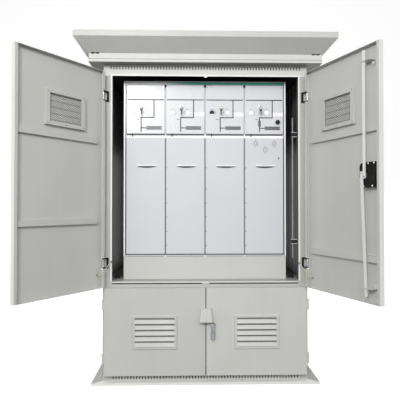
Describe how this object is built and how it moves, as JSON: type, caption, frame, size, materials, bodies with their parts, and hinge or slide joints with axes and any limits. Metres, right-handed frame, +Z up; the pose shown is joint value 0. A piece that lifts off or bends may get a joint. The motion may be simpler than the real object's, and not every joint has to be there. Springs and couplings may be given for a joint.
{
  "type": "outdoor switchgear kiosk",
  "caption": "Outdoor sheet-steel switchgear kiosk with open upper doors, a ring main unit inside, louvred lower doors and a flared roof.",
  "frame": {"origin": "centre of the base frame's footprint on the ground, amid the anchor holes", "axes": "+Z up, +X to the right as seen by someone who faces the doors, the doors face -Y"},
  "size_m": [2.2566, 1.9237, 2.647],
  "materials": {
    "enclosure_paint": "satin",
    "switchgear_paint": "satin",
    "green_strip": "satin",
    "black_paint": "satin",
    "zinc_steel": "brushed",
    "brass": "satin",
    "pale_plastic": "matt",
    "dark_plastic": "matt",
    "label_plate": "satin",
    "resin": "gloss",
    "lead_sheath": "matt"
  },
  "bodies": {
    "cabinet": {"base_frame": "enclosure_paint", "plinth_grille": "enclosure_paint", "side_panels": "enclosure_paint", "rear_panel": "enclosure_paint", "front_posts": "enclosure_paint", "header_rail": "enclosure_paint", "mid_rail": "enclosure_paint", "equipment_floor": "enclosure_paint", "soffit_plate": "enclosure_paint", "roof_eaves": "enclosure_paint", "roof_lid": "enclosure_paint", "hinge_brackets": "black_paint", "left_earth_lead": "lead_sheath", "right_earth_lead": "lead_sheath", "conduit": "pale_plastic", "shaft_covers": "pale_plastic", "switchgear_skirt": "enclosure_paint", "switchgear_housing": "switchgear_paint", "mechanism_fascias": "switchgear_paint", "switchgear_top_strip": "green_strip", "nameplates": "label_plate", "shaft_socket": "dark_plastic", "key_locks": "brass", "cable_bushings": "resin"},
    "left_upper_leaf": {"left_upper_door": "enclosure_paint", "left_upper_stiffeners": "enclosure_paint", "left_upper_louvre": "enclosure_paint", "left_upper_vent_screen": "enclosure_paint", "left_upper_hinge_leaves": "zinc_steel"},
    "right_upper_leaf": {"right_upper_door": "enclosure_paint", "right_upper_stiffeners": "enclosure_paint", "right_upper_louvre": "enclosure_paint", "right_upper_vent_screen": "enclosure_paint", "right_upper_hinge_leaves": "zinc_steel", "lock_case": "black_paint", "upper_handle_plate": "zinc_steel"},
    "left_lower_leaf": {"left_lower_door": "enclosure_paint", "left_lower_louvre": "enclosure_paint", "left_lower_hinge_leaves": "zinc_steel", "left_padlock_hood": "enclosure_paint"},
    "right_lower_leaf": {"right_lower_door": "enclosure_paint", "right_lower_louvre": "enclosure_paint", "right_lower_hinge_leaves": "zinc_steel", "right_padlock_hood": "enclosure_paint", "lower_handle_plate": "zinc_steel"},
    "upper_handle": {"upper_lever": "zinc_steel", "lock_cam": "zinc_steel"},
    "upper_rod": {"upper_lock_rod": "enclosure_paint"},
    "lower_rod": {"lower_lock_rod": "enclosure_paint"},
    "lower_handle": {"lower_lever": "zinc_steel", "latch_tongue": "zinc_steel"},
    "knob": {"selector_knob": "dark_plastic"},
    "turning_key_1": {"key_1": "brass"},
    "lifting_cover_1": {"cable_cover_1": "switchgear_paint"},
    "turning_key_2": {"key_2": "brass"},
    "lifting_cover_2": {"cable_cover_2": "switchgear_paint"},
    "turning_key_3": {"key_3": "brass"},
    "lifting_cover_3": {"cable_cover_3": "switchgear_paint"},
    "turning_key_4": {"key_4": "brass"},
    "lifting_cover_4": {"cable_cover_4": "switchgear_paint"}
  },
  "joints": [
    {"name": "left_upper_door_swing", "type": "hinge", "parent": "cabinet", "child": "left_upper_leaf", "pos_m": [-0.765, -0.534, 1.5235], "axis": [0, 0, 1], "range_deg": [-9.5, 125.5], "deforming": ["left_earth_lead"]},
    {"name": "right_upper_door_swing", "type": "hinge", "parent": "cabinet", "child": "right_upper_leaf", "pos_m": [0.765, -0.534, 1.5235], "axis": [0, 0, 1], "range_deg": [-111.2, 23.8], "deforming": ["right_earth_lead"]},
    {"name": "left_lower_door_swing", "type": "hinge", "parent": "cabinet", "child": "left_lower_leaf", "pos_m": [-0.765, -0.534, 0.39], "axis": [0, 0, 1], "range_deg": [-120, 0]},
    {"name": "right_lower_door_swing", "type": "hinge", "parent": "cabinet", "child": "right_lower_leaf", "pos_m": [0.765, -0.534, 0.39], "axis": [0, 0, 1], "range_deg": [0, 120]},
    {"name": "upper_handle_turn", "type": "hinge", "parent": "right_upper_leaf", "child": "upper_handle", "pos_m": [0.99391, -1.12416, 1.517], "axis": [-0.9323, -0.3616, 0], "range_deg": [0, 90]},
    {"name": "upper_rod_throw", "type": "slide", "parent": "right_upper_leaf", "child": "upper_rod", "axis": [0, 0, 1], "range_m": [0, 0.0198]},
    {"name": "lower_rod_throw", "type": "slide", "parent": "right_upper_leaf", "child": "lower_rod", "axis": [0, 0, -1], "range_m": [0, 0.0198]},
    {"name": "lower_handle_turn", "type": "hinge", "parent": "right_lower_leaf", "child": "lower_handle", "pos_m": [0.054, -0.53, 0.44], "axis": [0, -1, 0], "range_deg": [0, 90]},
    {"name": "key_1_turn", "type": "hinge", "parent": "cabinet", "child": "turning_key_1", "pos_m": [-0.495, -0.375, 2.104], "axis": [0, -1, 0], "range_deg": [0, 90]},
    {"name": "key_2_turn", "type": "hinge", "parent": "cabinet", "child": "turning_key_2", "pos_m": [-0.185, -0.375, 2.104], "axis": [0, -1, 0], "range_deg": [0, 90]},
    {"name": "key_3_turn", "type": "hinge", "parent": "cabinet", "child": "turning_key_3", "pos_m": [0.125, -0.375, 2.104], "axis": [0, -1, 0], "range_deg": [0, 90]},
    {"name": "key_4_turn", "type": "hinge", "parent": "cabinet", "child": "turning_key_4", "pos_m": [0.435, -0.375, 2.104], "axis": [0, -1, 0], "range_deg": [0, 90]},
    {"name": "cover_1_lift", "type": "slide", "parent": "cabinet", "child": "lifting_cover_1", "axis": [0, 0, 1], "range_m": [0, 0.018]},
    {"name": "cover_2_lift", "type": "slide", "parent": "cabinet", "child": "lifting_cover_2", "axis": [0, 0, 1], "range_m": [0, 0.018]},
    {"name": "cover_3_lift", "type": "slide", "parent": "cabinet", "child": "lifting_cover_3", "axis": [0, 0, 1], "range_m": [0, 0.018]},
    {"name": "cover_4_lift", "type": "slide", "parent": "cabinet", "child": "lifting_cover_4", "axis": [0, 0, 1], "range_m": [0, 0.018]},
    {"name": "knob_turn", "type": "hinge", "parent": "cabinet", "child": "knob", "pos_m": [0.572, -0.375, 1.985], "axis": [0, -1, 0], "range_deg": [-45, 45]}
  ],
  "couplings": [
    {"joint": "upper_rod_throw", "follows": "upper_handle_turn", "m_per_rad": 0.012604},
    {"joint": "lower_rod_throw", "follows": "upper_handle_turn", "m_per_rad": 0.012604}
  ]
}
